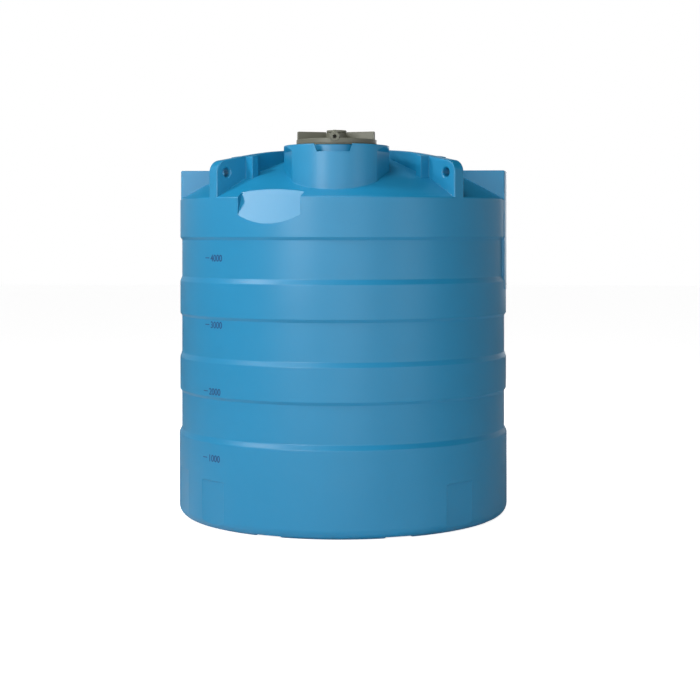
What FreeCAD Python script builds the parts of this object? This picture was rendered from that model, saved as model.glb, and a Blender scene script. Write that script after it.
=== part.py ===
import FreeCAD, Part
import os
from math import cos, pi, radians, sin, sqrt, tan

# Vertical rotomoulded water tank with an offset manway, a screw lid and a ball valve on its outlet.
# Units are millimetres. The origin is the centre of the base, +Z is up and the front faces -Y.
# Azimuths are degrees about +Z, 0 at the front (-Y) and +90 at the right (+X).

Vec = FreeCAD.Vector
UP = Vec(0, 0, 1)
OUT = Vec(1, 0, 0)

# Shell: wall, barrel bands and roof
WALL = 10.0
BASE_R = 954.0
BAND_R = 950.0
RECESS_R = 939.4
BASE_CORNER = 60.0
BASE_TOP = 502.6
BANDS = [(727.0, 938.0), (1162.5, 1374.0)]
TOP_BAND_LOW = 1598.0
BAND_UPPER_SLOPE = 28.0
BAND_LOWER_SLOPE = 16.0
SHOULDER_Z = 1814.0
SHOULDER_ROUND = 12.0
EAVE_BREAK = (750.0, 1926.0)
PLATEAU_R = 313.0
PLATEAU_Z = 2083.0
ROOF_ROUND = 600.0
PLATEAU_ROUND = 300.0

# Base: radial grooves under the floor and flats for pipe fittings
GROOVE_WIDTH = 160.0
GROOVE_DEPTH = 11.0
GROOVE_START = 260.0
GROOVE_AZIMUTHS = [22.5 + 45.0 * step for step in range(8)]
FLAT_PLANE = 948.0
FLAT_HALF = 95.0
FLAT_TOP = 270.0
FLAT_AZIMUTHS = [-135.0, -45.0, 45.0, 135.0]
SIDE_FLAT_AZIMUTH = -67.5
SIDE_FLAT_LOW = 40.0
SIDE_FLAT_TOP = 293.0

# Lifting fins
FIN_AZIMUTHS = [-135.0, -45.0, 45.0, 135.0]
FIN_THICK = 72.0
FIN_REACH = 949.0
FIN_TOP = 2092.0
FIN_TOP_FLAT = 320.0
EYE_S = 880.0
EYE_Z = 1951.0
EYE_R = 25.0
EYE_CORNER_R = 69.0
STIFFENER_S = 730.0
STIFFENER_THICK = 40.0
STIFFENER_WIDE = 192.0
EDGE_ROUND = 7.0

# Side dormers, right pilaster and shoulder pad
DORMER_HALF = 185.0
DORMER_TOP = 1980.0
DORMER_IN = 560.0
LEFT_DORMER_R = 946.0
RIGHT_DORMER_R = 953.0
DORMER_LOW = 1790.0
PILASTER_LOW = 1300.0
PAD_AZIMUTH = -21.6
PAD_HALF = 188.0
PAD_FOOT = (950.0, 1670.0)
PAD_HEAD = (878.0, 1854.0)

# Manway neck
NECK_Y = -594.0
COLLAR_R = 289.0
COLLAR_IN_R = 256.0
COLLAR_TOP = 2096.0
GUTTER_FLOOR = 2044.0
INNER_NECK_R = 223.0
INNER_NECK_TOP = 2095.0
MANWAY_R = 200.0
CHEEK_PLANE = 273.5
CHEEK_AZIMUTH = 71.5
CHEEK_TOP = 2060.0
CHEEK_FADE = 2088.0
NOTCH_TOP_WIDTH = 204.0
NOTCH_FLOOR_WIDTH = 175.0
NOTCH_DEPTH = 42.0

# Threaded ring, its gasket and screws
GASKET_THICK = 2.0
RING_FLANGE_R = 225.0
RING_FLANGE = 6.0
RING_BORE_R = 189.0
RING_SPIGOT_R = 198.5
RING_SPIGOT_DROP = 45.0
RING_NECK_R = 203.0
RING_NECK_TOP = 2119.0
THREAD_PITCH = 8.0
THREAD_TURNS = 1.15
THREAD_DEPTH = 5.0
THREAD_ROOT = 3.4
THREAD_CREST = 1.6
THREAD_START = 100.0
SCREW_COUNT = 12
SCREW_CIRCLE_R = 213.0
SCREW_R = 2.5
SCREW_HEAD_R = 5.2
SCREW_HEAD = 3.0
SCREW_LENGTH = 28.0

# Screw lid and vent
LID_R = 220.0
LID_SKIRT_IN_R = 212.0
LID_LOW = 2104.5
LID_SEAT = 2122.3
LID_SHOULDER = 2129.0
LID_CROWN = 2140.0
LID_RIB_TOP = 2172.0
LID_RIB_THICK = 20.0
LID_RIB_COUNT = 5
LID_RIB_AZIMUTH = 1.2
LID_SPIGOT_R = 184.0
LID_SPIGOT_WALL = 5.0
LID_SPIGOT_DROP = 16.0
LID_GASKET_R = (191.0, 203.0)
LID_GASKET_THICK = 3.0
BOSS_R = 26.0
BOSS_Z = 2136.0
BOSS_HOLE_R = 10.5
BOSS_DEPTH = 55.0
BOSS_OUT = 222.0
HUB_R = 62.0
HUB_TOP = 2166.0
VENT_TUBE_R = 20.0
VENT_BORE_R = 16.0
VENT_HOLE_R = 20.5
VENT_TUBE_LOW = 2098.0
VENT_WASHER_R = 32.0
VENT_WASHER = 2.5
VENT_NUT_FLATS = 60.0
VENT_NUT = 11.0
VENT_WINDOWS = 6
VENT_CAP_R = 55.0
VENT_CAP_LOW = 2168.5
VENT_CAP_TOP = 2182.0
VENT_CAP_WALL = 3.0

# Outlet fitting through the rear flat
OUTLET_AZIMUTH = 135.0
OUTLET_Z = 105.0
OUTLET_THREAD_R = 29.8
OUTLET_BORE_R = 24.5
OUTLET_HOLE_R = 30.5
OUTLET_HEAD_R = 46.0
OUTLET_HEAD = 9.0
OUTLET_SEAL = 4.0
OUTLET_SEAL_R = 43.0
OUTLET_NUT_FLATS = 88.0
OUTLET_NUT = 15.0
OUTLET_END = 1012.0

# Ball valve screwed on the outlet; distances along the outlet axis from the tank's axis
VALVE_START = 978.0
VALVE_CENTRE = 1052.0
VALVE_END = 1126.0
SOCKET_FLATS = 74.0
SOCKET_DEPTH = 36.0
HOUSING_R = 50.0
CHAMBER_R = 41.0
CHAMBER_HALF = 40.0
BALL_R = 37.5
BALL_GAP = 0.3
SEAT_IN_R = 25.0
SEAT_R = 34.0
CAP_THREAD_R = 44.0
CAP_FLANGE = 10.0
CAP_SEAL = 2.0
TOWER_R = 19.0
TOWER_TOP = 66.0
STEM_R = 9.0
STEM_TOP = 92.0
STEM_FOOT = 29.0
STEM_TANG = 9.0
STEM_FLAT = 12.0
GAP = 0.3
SEAL_CORD_R = 1.6
GLAND_FLATS = 32.0
GLAND = 9.0
LEVER_LENGTH = 165.0
LEVER_WIDTH = 26.0
LEVER_THICK = 5.0
LEVER_Z = 77.0
GRIP_LENGTH = 105.0
GRIP_WALL = 4.0
LEVER_NUT_FLATS = 19.0
LEVER_NUT = 7.0


def corner_wire(points, slopes_as_splines=False):
    """Closed wire in the XZ plane through (x, z, radius) corners, each rounded by its radius."""
    count = len(points)
    runs = []
    for index in range(count):
        x, z, radius = points[index]
        corner = Vec(x, 0, z)
        if radius <= 0:
            runs.append((corner, None, corner))
            continue
        x0, z0, _ = points[index - 1]
        x1, z1, _ = points[(index + 1) % count]
        back = (Vec(x0, 0, z0) - corner).normalize()
        ahead = (Vec(x1, 0, z1) - corner).normalize()
        half = back.getAngle(ahead) / 2
        bisector = (back + ahead).normalize()
        reach = radius / tan(half)
        middle = corner + bisector * (radius / sin(half) - radius)
        runs.append((corner + back * reach, middle, corner + ahead * reach))
    edges = []
    for index in range(count):
        first, middle, last = runs[index]
        if middle is not None:
            edges.append(Part.Arc(first, middle, last).toShape())
        following = runs[(index + 1) % count][0]
        if last.distanceToPoint(following) > 1e-6:
            line = Part.makeLine(last, following)
            sloping = abs(last.x - following.x) > 1e-6 and abs(last.z - following.z) > 1e-6
            edges.append(line.toNurbs().Edges[0] if slopes_as_splines and sloping else line)
    return Part.Wire(edges)


def turned(points):
    """Solid of revolution about Z of an outline of (r, z, radius) corners.

    Sloping sides are straight splines, since a flat cut across a true cone leaves hyperbolas,
    whose distances can't be measured.
    """
    return Part.Face(corner_wire(points, True)).revolve(Vec(0, 0, 0), UP, 360)


def plate(points, half_width):
    """Outline of (x, z, radius) corners in the XZ plane, extruded to both sides of it."""
    face = Part.Face(corner_wire(points))
    face.translate(Vec(0, -half_width, 0))
    return face.extrude(Vec(0, 2 * half_width, 0))


def sharp(points):
    """The same corners with no rounding."""
    return [(x, z, 0) for x, z in points]


def block(x0, x1, half_width, z0, z1):
    """Box from x0 to x1 and z0 to z1, centred on the XZ plane."""
    return Part.makeBox(x1 - x0, 2 * half_width, z1 - z0, Vec(x0, -half_width, z0))


def tube(outer_r, inner_r, z0, z1):
    """Upright ring."""
    outer = Part.makeCylinder(outer_r, z1 - z0, Vec(0, 0, z0))
    return outer.cut(Part.makeCylinder(inner_r, z1 - z0, Vec(0, 0, z0)))


def hexagon(flats, z0, z1):
    """Upright hexagonal prism, flats across its faces."""
    corner_r = flats / 2 / cos(radians(30))
    corners = [Vec(corner_r * cos(radians(60 * k)), corner_r * sin(radians(60 * k)), z0) for k in range(7)]
    return Part.Face(Part.makePolygon(corners)).extrude(Vec(0, 0, z1 - z0))


def at_azimuth(shape, azimuth):
    """Turn a shape that points along +X to an azimuth of the tank."""
    turned_shape = shape.copy()
    turned_shape.rotate(Vec(0, 0, 0), UP, azimuth - 90)
    return turned_shape


def on_neck(shape):
    """Move a shape built about Z to the manway's axis."""
    moved = shape.copy()
    moved.translate(Vec(0, NECK_Y, 0))
    return moved


def on_outlet(shape):
    """Move a shape built along +X at height 0 to the outlet's axis."""
    moved = at_azimuth(shape, OUTLET_AZIMUTH)
    moved.translate(Vec(0, 0, OUTLET_Z))
    return moved


def lying(shape):
    """Lay a shape built about Z along +X."""
    laid = shape.copy()
    laid.rotate(Vec(0, 0, 0), Vec(0, 1, 0), 90)
    return laid


def barrel_outline(skin):
    """Half section of the banded barrel and the domed roof, drawn in by skin."""
    outline = [(0, skin, 0), (BASE_R - skin, skin, BASE_CORNER - skin)]
    outline.append((BASE_R - skin, BASE_TOP - BAND_UPPER_SLOPE, 18))
    outline.append((RECESS_R - skin, BASE_TOP, 18))
    for low, top in BANDS:
        outline.append((RECESS_R - skin, low - BAND_LOWER_SLOPE, 4))
        outline.append((BAND_R - skin, low, 6))
        outline.append((BAND_R - skin, top - BAND_UPPER_SLOPE, 18))
        outline.append((RECESS_R - skin, top, 18))
    outline.append((RECESS_R - skin, TOP_BAND_LOW - BAND_LOWER_SLOPE, 4))
    outline.append((BAND_R - skin, TOP_BAND_LOW, 6))
    outline.append((BAND_R - skin, SHOULDER_Z - skin, SHOULDER_ROUND))
    outline.append((EAVE_BREAK[0], EAVE_BREAK[1] - 1.1 * skin, ROOF_ROUND))
    outline.append((PLATEAU_R, PLATEAU_Z - skin, PLATEAU_ROUND))
    outline.append((0, PLATEAU_Z - skin, 0))
    return outline


def fin_face(skin, half_width):
    """Side outline of a lifting fin: rising end, corner round the eye, long shallow top arc."""
    reach = FIN_REACH - skin
    corner_r = EYE_CORNER_R - skin
    top = FIN_TOP - skin
    inside = SHOULDER_Z - 60
    corner_end = radians(76)
    corner_mid = radians(38)
    foot = Vec(reach, 0, inside)
    corner_a = Vec(reach, 0, EYE_Z)
    corner_m = Vec(EYE_S + corner_r * cos(corner_mid), 0, EYE_Z + corner_r * sin(corner_mid))
    corner_b = Vec(EYE_S + corner_r * cos(corner_end), 0, EYE_Z + corner_r * sin(corner_end))
    arc_m = Vec(620, 0, top - 19.5)
    arc_b = Vec(FIN_TOP_FLAT, 0, top)
    centre_top = Vec(0, 0, top)
    centre_low = Vec(0, 0, inside)
    edges = [Part.makeLine(foot, corner_a), Part.Arc(corner_a, corner_m, corner_b).toShape()]
    edges.append(Part.Arc(corner_b, arc_m, arc_b).toShape())
    edges.append(Part.makeLine(arc_b, centre_top))
    edges.append(Part.makeLine(centre_top, centre_low))
    edges.append(Part.makeLine(centre_low, foot))
    face = Part.Face(Part.Wire(edges))
    face.translate(Vec(0, -half_width, 0))
    return face


def fin(skin):
    """One lifting fin along +X with its eye and its cross stiffener."""
    half = FIN_THICK / 2 - skin
    body = fin_face(skin, half).extrude(Vec(0, 2 * half, 0))
    eye_low = Vec(EYE_S, -FIN_THICK, EYE_Z)
    body = body.cut(Part.makeCylinder(EYE_R + skin, 2 * FIN_THICK, eye_low, Vec(0, 1, 0)))
    if skin == 0:
        rims = []
        for edge in body.Edges:
            box = edge.BoundBox
            in_side_face = box.YLength < 0.1 and abs(abs(box.YMin) - half) < 0.1
            above_roof = box.ZMax > EYE_Z - EYE_R - 1 and box.XMax > 1
            if in_side_face and above_roof:
                rims.append(edge)
        body = body.makeFillet(EDGE_ROUND, rims)
    wide = STIFFENER_WIDE / 2 - skin
    cross = fin_face(skin + 3, wide).extrude(Vec(0, 2 * wide, 0))
    thick = STIFFENER_THICK / 2 - skin
    cross = cross.common(block(STIFFENER_S - thick, STIFFENER_S + thick, wide, 1700, 2200))
    return body.fuse(cross)


def dormer(skin, radius):
    """Flat-topped box on the roof's edge, its outer face on a cylinder about the tank's axis."""
    box = block(DORMER_IN, BASE_R, DORMER_HALF - skin, DORMER_LOW, DORMER_TOP - skin)
    drum = Part.makeCylinder(radius - skin, DORMER_TOP, Vec(0, 0, 0))
    body = box.common(drum)
    if skin == 0:
        rims = []
        for edge in body.Edges:
            box = edge.BoundBox
            top_edge = box.ZMin > DORMER_TOP - 0.1 and box.XMax > DORMER_IN + 1
            corner_edge = box.ZLength > 100 and box.XMin > 900
            if top_edge or corner_edge:
                rims.append(edge)
        body = body.makeFillet(EDGE_ROUND, rims)
    return body


def pilaster(skin):
    """Raised strip below the right dormer, down to the middle band."""
    strip = block(860, BASE_R, DORMER_HALF - skin, PILASTER_LOW + skin, DORMER_LOW + 60)
    return strip.common(Part.makeCylinder(RIGHT_DORMER_R - skin, DORMER_TOP, Vec(0, 0, 0)))


def shoulder_pad_cutter(skin):
    """Wedge that cuts the sloping pipe pad into the shoulder."""
    foot_s, foot_z = PAD_FOOT
    head_s, head_z = PAD_HEAD
    lean = (foot_s - head_s) / (head_z - foot_z)
    shift = skin * sqrt(1 + lean * lean)
    low = foot_z - 40
    high = head_z + 60
    low_s = foot_s + 40 * lean - shift
    high_s = head_s - 60 * lean - shift
    outline = sharp([(low_s, low), (1100, low), (1100, high), (high_s, high)])
    return at_azimuth(plate(outline, PAD_HALF + skin), PAD_AZIMUTH)


def base_cutters(skin):
    """Grooves under the floor and the flats low on the wall."""
    cutters = []
    for azimuth in GROOVE_AZIMUTHS:
        low = GROOVE_START - skin
        outline = [(low, -5, 0), (1000, -5, 0), (1000, GROOVE_DEPTH + skin, 0)]
        outline.append((low + 12, GROOVE_DEPTH + skin, 6))
        cutters.append(at_azimuth(plate(outline, GROOVE_WIDTH / 2 + skin), azimuth))
    plane = FLAT_PLANE - skin
    for azimuth in FLAT_AZIMUTHS:
        cutters.append(at_azimuth(block(plane, 1000, FLAT_HALF, -1, FLAT_TOP + skin), azimuth))
    side = block(plane, 1000, FLAT_HALF, SIDE_FLAT_LOW, SIDE_FLAT_TOP + skin)
    cutters.append(at_azimuth(side, SIDE_FLAT_AZIMUTH))
    return cutters


def collar(skin, top):
    """Round collar of the neck with a flat cheek on each side."""
    body = Part.makeCylinder(COLLAR_R - skin, top - 1800, Vec(0, 0, 1800))
    if skin == 0:
        rims = [edge for edge in body.Edges if edge.BoundBox.ZMin > top - 0.1]
        body = body.makeFillet(EDGE_ROUND / 2, rims)
    plane = CHEEK_PLANE - skin
    reach = COLLAR_R + 20
    outline = sharp([(plane, 1790), (plane, CHEEK_TOP), (COLLAR_R - skin, CHEEK_FADE)])
    outline += sharp([(reach, CHEEK_FADE), (reach, 1790)])
    for side in (-1, 1):
        body = body.cut(at_azimuth(plate(outline, 120), side * CHEEK_AZIMUTH))
    return on_neck(body)


def tank_body(skin):
    """The tank's closed form, drawn in by skin on every side."""
    body = turned(barrel_outline(skin))
    added = [at_azimuth(fin(skin), azimuth) for azimuth in FIN_AZIMUTHS]
    added.append(at_azimuth(dormer(skin, LEFT_DORMER_R), -90))
    added.append(at_azimuth(dormer(skin, RIGHT_DORMER_R), 90))
    added.append(at_azimuth(pilaster(skin), 90))
    added.append(collar(skin, COLLAR_TOP if skin == 0 else GUTTER_FLOOR - skin))
    body = body.fuse(added)
    return body.cut([shoulder_pad_cutter(skin)] + base_cutters(skin))


def neck_cutters():
    """Gutter, manway bore, front notch and screw holes of the neck."""
    cutters = [on_neck(tube(COLLAR_IN_R, INNER_NECK_R, GUTTER_FLOOR, COLLAR_TOP + 20))]
    trim_height = COLLAR_TOP + 20 - INNER_NECK_TOP
    trim = Part.makeCylinder(COLLAR_IN_R, trim_height, Vec(0, 0, INNER_NECK_TOP))
    cutters.append(on_neck(trim))
    cutters.append(on_neck(Part.makeCylinder(MANWAY_R, 200, Vec(0, 0, 1960))))
    floor = COLLAR_TOP - NOTCH_DEPTH
    half_floor = NOTCH_FLOOR_WIDTH / 2
    half_top = NOTCH_TOP_WIDTH / 2
    lean = (half_top - half_floor) / NOTCH_DEPTH
    over = half_top + 20 * lean
    corners = [Vec(-half_floor, 0, floor), Vec(half_floor, 0, floor)]
    corners += [Vec(over, 0, COLLAR_TOP + 20), Vec(-over, 0, COLLAR_TOP + 20)]
    notch = Part.Face(Part.makePolygon(corners + corners[:1])).extrude(Vec(0, -90, 0))
    notch.translate(Vec(0, -INNER_NECK_R - 4, 0))
    cutters.append(on_neck(notch))
    for place in screw_places():
        low = place - UP * SCREW_LENGTH
        cutters.append(on_neck(Part.makeCylinder(SCREW_R, SCREW_LENGTH + 20, low)))
    return cutters


def screw_places():
    """Head tops of the ring's screws, about the neck's axis."""
    top = INNER_NECK_TOP + GASKET_THICK + RING_FLANGE
    places = []
    for index in range(SCREW_COUNT):
        angle = 2 * pi * (index + 0.5) / SCREW_COUNT
        places.append(Vec(SCREW_CIRCLE_R * cos(angle), SCREW_CIRCLE_R * sin(angle), top))
    return places


def tank_shell():
    """The hollow rotomoulded shell in one piece."""
    shell = tank_body(0).cut(tank_body(WALL))
    shell = shell.cut(neck_cutters())
    hole = Part.makeCylinder(OUTLET_HOLE_R, 80, Vec(FLAT_PLANE - 50, 0, 0), OUT)
    return shell.cut(on_outlet(hole))


def thread_ridge(radius, depth, low, start):
    """Helical ridge on a cylinder from azimuth start, standing out for a positive depth, else in."""
    root = 1.0 if depth > 0 else -1.0
    helix = Part.makeHelix(THREAD_PITCH, THREAD_PITCH * THREAD_TURNS, radius)
    corners = [Vec(radius - root, 0, -THREAD_ROOT / 2), Vec(radius, 0, -THREAD_ROOT / 2)]
    corners += [Vec(radius + depth, 0, -THREAD_CREST / 2), Vec(radius + depth, 0, THREAD_CREST / 2)]
    corners += [Vec(radius, 0, THREAD_ROOT / 2), Vec(radius - root, 0, THREAD_ROOT / 2)]
    profile = Part.makePolygon(corners + corners[:1])
    ridge = Part.Wire(helix.Edges).makePipeShell([profile], True, True)
    ridge.rotate(Vec(0, 0, 0), UP, start)
    ridge.translate(Vec(0, 0, low))
    return ridge


def neck_ring():
    """Threaded ring that stands on the inner neck."""
    low = INNER_NECK_TOP + GASKET_THICK
    flange_top = low + RING_FLANGE
    outline = [(RING_BORE_R, low - RING_SPIGOT_DROP, 0), (RING_SPIGOT_R, low - RING_SPIGOT_DROP, 2)]
    outline += [(RING_SPIGOT_R, low, 0), (RING_FLANGE_R, low, 1), (RING_FLANGE_R, flange_top, 1)]
    outline += [(RING_NECK_R, flange_top, 0), (RING_NECK_R, RING_NECK_TOP, 1.5)]
    outline += [(RING_BORE_R, RING_NECK_TOP, 1.5)]
    ring = turned(outline)
    ring = ring.fuse(thread_ridge(RING_NECK_R, THREAD_DEPTH, flange_top + 3.2, THREAD_START))
    for place in screw_places():
        ring = ring.cut(Part.makeCylinder(SCREW_R, 30, place - UP * 25))
        cone_low = place - UP * SCREW_HEAD
        ring = ring.cut(Part.makeCone(SCREW_R, SCREW_HEAD_R, SCREW_HEAD, cone_low))
    return on_neck(ring)


def neck_ring_gasket():
    """Flat rubber gasket under the ring's flange."""
    gasket = tube(INNER_NECK_R - 1, MANWAY_R + 1, INNER_NECK_TOP, INNER_NECK_TOP + GASKET_THICK)
    for place in screw_places():
        gasket = gasket.cut(Part.makeCylinder(SCREW_R, 30, place - UP * 25))
    return on_neck(gasket)


def neck_ring_screws():
    """Countersunk screws that hold the ring on the neck."""
    screws = []
    for place in screw_places():
        head = Part.makeCone(SCREW_R, SCREW_HEAD_R, SCREW_HEAD, place - UP * SCREW_HEAD)
        shank = Part.makeCylinder(SCREW_R, SCREW_LENGTH - SCREW_HEAD - 3, place - UP * (SCREW_LENGTH - 3))
        slot = Part.makeBox(7, 1.2, 1.2, place - Vec(3.5, 0.6, 1.2))
        screws.append(on_neck(head.fuse(shank).removeSplitter().cut(slot)))
    return Part.makeCompound(screws)


def screw_lid():
    """Screw lid: threaded skirt, shallow cone, star of ribs, locking boss and vent hub."""
    outline = [(0, LID_SEAT - 8, 0), (LID_R, LID_SEAT - 8, 0), (LID_R, LID_SHOULDER, 2.5)]
    outline += [(HUB_R, LID_CROWN, 0), (0, LID_CROWN, 0)]
    lid = turned(outline)
    lid = lid.fuse(Part.makeCylinder(LID_R, LID_SEAT - LID_LOW, Vec(0, 0, LID_LOW)))
    ribs = []
    for index in range(LID_RIB_COUNT):
        corners = [(0, LID_SHOULDER - 5, 0), (LID_R - 0.5, LID_SHOULDER - 5, 0)]
        corners += [(LID_R - 0.5, LID_RIB_TOP, 4), (0, LID_RIB_TOP, 0)]
        rib = plate(corners, LID_RIB_THICK / 2)
        ribs.append(at_azimuth(rib, LID_RIB_AZIMUTH + index * 360 / LID_RIB_COUNT))
    boss_from = BOSS_OUT - BOSS_DEPTH - 10
    boss = Part.makeCylinder(BOSS_R, BOSS_OUT - boss_from, Vec(boss_from, 0, BOSS_Z), OUT)
    ribs.append(at_azimuth(boss, LID_RIB_AZIMUTH))
    ribs.append(Part.makeCylinder(HUB_R, HUB_TOP - LID_SHOULDER, Vec(0, 0, LID_SHOULDER)))
    lid = lid.fuse(ribs)
    cutters = [Part.makeCylinder(HUB_R + 1, 40, Vec(0, 0, HUB_TOP))]
    cutters.append(Part.makeCylinder(LID_SKIRT_IN_R, LID_SEAT - LID_LOW + 2, Vec(0, 0, LID_LOW - 2)))
    cutters.append(tube(LID_R + 40, LID_R + 0.01, LID_LOW - 30, LID_LOW))
    hole = Part.makeCylinder(BOSS_HOLE_R, BOSS_DEPTH + 5, Vec(BOSS_OUT - BOSS_DEPTH, 0, BOSS_Z), OUT)
    cutters.append(at_azimuth(hole, LID_RIB_AZIMUTH))
    hollow = turned([(0, LID_SEAT - 9, 0), (LID_SPIGOT_R - LID_SPIGOT_WALL, LID_SEAT - 9, 0),
                     (LID_SPIGOT_R - LID_SPIGOT_WALL, LID_SHOULDER - 5, 0), (HUB_R, LID_CROWN - 5, 0),
                     (0, LID_CROWN - 5, 0)])
    cutters.append(hollow)
    cutters.append(Part.makeCylinder(VENT_HOLE_R, 120, Vec(0, 0, LID_SEAT - 20)))
    lid = lid.cut(cutters)
    spigot = tube(LID_SPIGOT_R, LID_SPIGOT_R - LID_SPIGOT_WALL, LID_SEAT - LID_SPIGOT_DROP, LID_SEAT + 1)
    lid = lid.fuse(spigot)
    ridge_low = LID_LOW + 1.7 + THREAD_PITCH / 2
    lid = lid.fuse(thread_ridge(LID_SKIRT_IN_R, -THREAD_DEPTH, ridge_low, THREAD_START))
    return on_neck(lid)


def lid_gasket():
    """Flat ring under the lid's seat."""
    return on_neck(tube(LID_GASKET_R[1], LID_GASKET_R[0], LID_SEAT - LID_GASKET_THICK, LID_SEAT))


def vent_parts():
    """Vent through the lid's hub: tube, washer, nut, insect screen and cap."""
    bead_low = HUB_TOP
    window_low = bead_low + 4
    tube_top = VENT_CAP_TOP - VENT_CAP_WALL
    pipe = tube(VENT_TUBE_R, VENT_BORE_R, VENT_TUBE_LOW, tube_top)
    pipe = pipe.fuse(tube(VENT_WASHER_R, VENT_BORE_R, bead_low, window_low))
    for index in range(VENT_WINDOWS):
        window = block(VENT_BORE_R - 4, VENT_TUBE_R + 4, 5, window_low, tube_top - 3)
        pipe = pipe.cut(at_azimuth(window, index * 360 / VENT_WINDOWS))
    under = LID_CROWN - 5
    washer = tube(VENT_WASHER_R, VENT_TUBE_R, under - VENT_WASHER, under)
    nut_top = under - VENT_WASHER
    nut = hexagon(VENT_NUT_FLATS, nut_top - VENT_NUT, nut_top)
    nut = nut.cut(Part.makeCylinder(VENT_TUBE_R, 40, Vec(0, 0, nut_top - 20)))
    screen = Part.makeCylinder(VENT_BORE_R, 1, Vec(0, 0, window_low - 3))
    holes = []
    for row in range(-3, 4):
        for column in range(-3, 4):
            place = Vec(row * 4.2, column * 4.2, window_low - 4)
            if sqrt(place.x ** 2 + place.y ** 2) < VENT_BORE_R - 2.2:
                holes.append(Part.makeCylinder(1.4, 4, place))
    screen = screen.cut(holes)
    top = VENT_CAP_TOP
    cap = turned([(0, top - VENT_CAP_WALL, 0), (VENT_CAP_R - VENT_CAP_WALL, top - VENT_CAP_WALL - 3, 2),
                  (VENT_CAP_R - VENT_CAP_WALL, VENT_CAP_LOW, 0), (VENT_CAP_R, VENT_CAP_LOW, 0),
                  (VENT_CAP_R, top - 4, 4), (0, top, 0)])
    socket = tube(VENT_TUBE_R + 3, VENT_TUBE_R, tube_top - 3, tube_top - 0.4)
    cap = cap.fuse(socket).cut(Part.makeCylinder(VENT_TUBE_R, 3, Vec(0, 0, tube_top - 3)))
    shapes = {"vent_tube": pipe, "vent_washer": washer, "vent_nut": nut}
    shapes.update({"vent_screen": screen, "vent_cap": cap})
    return {name: on_neck(shape) for name, shape in shapes.items()}


def outlet_parts():
    """Bulkhead fitting through the rear flat, with its seals and back nut."""
    wall_in = FLAT_PLANE - WALL
    head_out = wall_in - OUTLET_SEAL
    head_in = head_out - OUTLET_HEAD
    stem = tube(OUTLET_THREAD_R, OUTLET_BORE_R, head_in, OUTLET_END)
    bulkhead = stem.fuse(tube(OUTLET_HEAD_R, OUTLET_BORE_R, head_in, head_out))
    seal_in = tube(OUTLET_SEAL_R, OUTLET_THREAD_R, head_out, wall_in)
    seal_out = tube(OUTLET_SEAL_R, OUTLET_THREAD_R, FLAT_PLANE, FLAT_PLANE + OUTLET_SEAL)
    nut_low = FLAT_PLANE + OUTLET_SEAL
    nut = hexagon(OUTLET_NUT_FLATS, nut_low, nut_low + OUTLET_NUT)
    nut = nut.cut(Part.makeCylinder(OUTLET_THREAD_R, OUTLET_NUT, Vec(0, 0, nut_low)))
    shapes = {"outlet_bulkhead": bulkhead, "outlet_seal_inner": seal_in}
    shapes.update({"outlet_seal_outer": seal_out, "outlet_nut": nut})
    return {name: on_outlet(lying(shape)) for name, shape in shapes.items()}


def valve_casing():
    """Ball valve body and its screwed end cap."""
    chamber_in = VALVE_CENTRE - CHAMBER_HALF
    chamber_out = VALVE_CENTRE + CHAMBER_HALF
    body = hexagon(SOCKET_FLATS, VALVE_START, chamber_in + 4)
    drum = Part.makeCylinder(HOUSING_R, 2 * CHAMBER_HALF + 8, Vec(0, 0, chamber_in - 8))
    drum = drum.makeChamfer(5, [edge for edge in drum.Edges if edge.BoundBox.ZLength < 0.1])
    body = lying(body.fuse(drum))
    tower = Part.makeCylinder(TOWER_R, TOWER_TOP, Vec(VALVE_CENTRE, 0, 0))
    body = body.fuse(tower)
    cutters = [Part.makeCylinder(OUTLET_THREAD_R, SOCKET_DEPTH, Vec(VALVE_START, 0, 0), OUT)]
    cutters.append(Part.makeCylinder(SEAT_IN_R, 200, Vec(VALVE_START, 0, 0), OUT))
    cutters.append(Part.makeCylinder(CHAMBER_R, 2 * CHAMBER_HALF, Vec(chamber_in, 0, 0), OUT))
    cutters.append(Part.makeCylinder(CAP_THREAD_R, 20, Vec(chamber_out - 12, 0, 0), OUT))
    cutters.append(Part.makeCylinder(STEM_R + GAP, TOWER_TOP + 1, Vec(VALVE_CENTRE, 0, 0)))
    for height in seal_heights():
        groove = Part.makeTorus(STEM_R + 0.5, SEAL_CORD_R, Vec(VALVE_CENTRE, 0, height))
        cutters.append(groove)
    body = body.cut(cutters)
    spigot_end = chamber_out - 12 + CAP_SEAL
    cap = tube(CAP_THREAD_R, SEAT_IN_R, spigot_end, chamber_out)
    cap = cap.fuse(tube(HOUSING_R - 1, SEAT_IN_R, chamber_out, chamber_out + CAP_FLANGE))
    cap = cap.fuse(hexagon(SOCKET_FLATS, chamber_out + CAP_FLANGE, VALVE_END))
    cap = cap.cut(Part.makeCylinder(SEAT_IN_R, 90, Vec(0, 0, spigot_end - 10)))
    cap = cap.cut(Part.makeCylinder(OUTLET_THREAD_R, 24, Vec(0, 0, VALVE_END - 24)))
    seal = tube(CAP_THREAD_R, CHAMBER_R, chamber_out - 12, spigot_end)
    return body, lying(cap), lying(seal)


def seal_heights():
    """Heights of the stem's two sealing rings above the outlet's axis."""
    return (TOWER_TOP - 8, TOWER_TOP - 15)


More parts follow.
